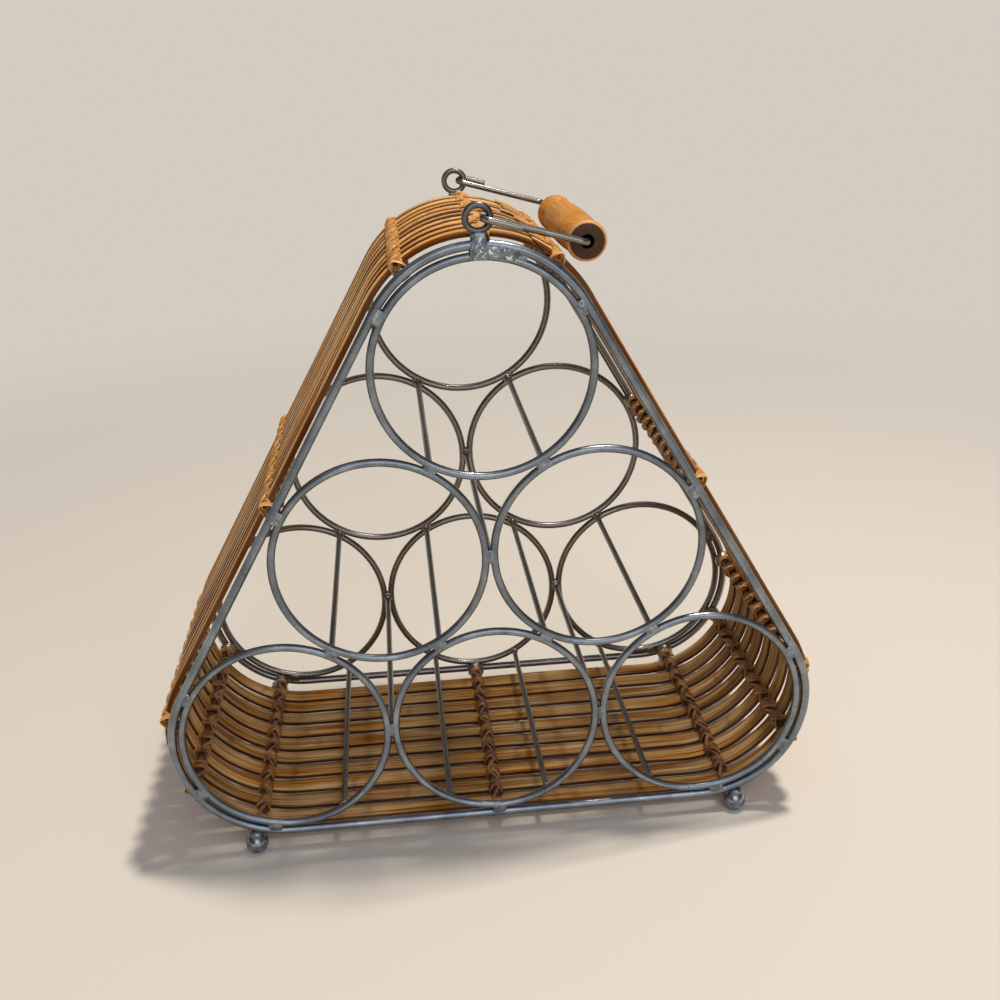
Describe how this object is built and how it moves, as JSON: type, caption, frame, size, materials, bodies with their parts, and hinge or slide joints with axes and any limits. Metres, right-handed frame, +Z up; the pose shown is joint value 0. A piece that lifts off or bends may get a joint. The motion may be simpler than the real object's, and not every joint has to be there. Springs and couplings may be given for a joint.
{
  "type": "wicker wine rack",
  "caption": "Triangular wire and cane wine rack: welded bottle rings in end frames, a lashed band of cane slats, ball feet, and a swinging bail handle with a turned wooden grip.",
  "frame": {"origin": "on the floor under the middle of the rack", "axes": "+Z up, +X across the front to the right, +Y from the front frame to the back frame"},
  "size_m": [0.3478, 0.1692, 0.3344],
  "materials": {
    "steel_wire": "dull bare steel wire",
    "bail_wire": "bright drawn wire",
    "cane": "satin split cane",
    "cane_binder": "satin cane binder",
    "turned_wood": "clear varnished"
  },
  "bodies": {
    "rack": {"front_hoop": "steel_wire", "back_hoop": "steel_wire", "front_ring_top": "steel_wire", "front_ring_mid_left": "steel_wire", "front_ring_mid_right": "steel_wire", "front_ring_low_left": "steel_wire", "front_ring_low_middle": "steel_wire", "front_ring_low_right": "steel_wire", "back_ring_top": "steel_wire", "back_ring_mid_left": "steel_wire", "back_ring_mid_right": "steel_wire", "back_ring_low_left": "steel_wire", "back_ring_low_middle": "steel_wire", "back_ring_low_right": "steel_wire", "front_eye": "steel_wire", "back_eye": "steel_wire", "front_foot_left": "steel_wire", "front_foot_right": "steel_wire", "back_foot_left": "steel_wire", "back_foot_right": "steel_wire", "cross_rod_top_to_mid_left": "steel_wire", "cross_rod_top_to_mid_right": "steel_wire", "cross_rod_mid_left_to_mid_right": "steel_wire", "cross_rod_mid_left_to_low_left": "steel_wire", "cross_rod_mid_left_to_low_middle": "steel_wire", "cross_rod_mid_right_to_low_middle": "steel_wire", "cross_rod_mid_right_to_low_right": "steel_wire", "cross_rod_low_left_to_low_middle": "steel_wire", "cross_rod_low_middle_to_low_right": "steel_wire", "floor_rod_left": "steel_wire", "floor_rod_middle_left": "steel_wire", "floor_rod_middle_right": "steel_wire", "floor_rod_right": "steel_wire", "lashed_bar_top": "cane_binder", "lashed_bar_bottom": "cane_binder", "lashed_bar_upper_left": "cane_binder", "lashed_bar_upper_right": "cane_binder", "lashed_bar_mid_left": "cane_binder", "lashed_bar_mid_right": "cane_binder", "lashed_bar_low_left": "cane_binder", "lashed_bar_low_right": "cane_binder", "lashed_bar_corner_left": "cane_binder", "lashed_bar_corner_right": "cane_binder", "lashed_bar_foot_left": "cane_binder", "lashed_bar_foot_right": "cane_binder", "cane_slat_01": "cane", "cane_slat_02": "cane", "cane_slat_03": "cane", "cane_slat_04": "cane", "cane_slat_05": "cane", "cane_slat_06": "cane", "cane_slat_07": "cane", "cane_slat_08": "cane", "cane_slat_09": "cane", "cane_slat_10": "cane"},
    "bail": {"bail_handle": "bail_wire"},
    "grip": {"wooden_grip": "turned_wood"}
  },
  "joints": [
    {"name": "bail_swing", "type": "hinge", "parent": "rack", "child": "bail", "pos_m": [0.0022, 0, 0.32706], "axis": [0, -1, 0], "range_deg": [0, 208.1]},
    {"name": "grip_spin", "type": "hinge", "parent": "bail", "child": "grip", "pos_m": [0.05076, 0, 0.3132], "axis": [0, -1, 0], "continuous": true}
  ]
}
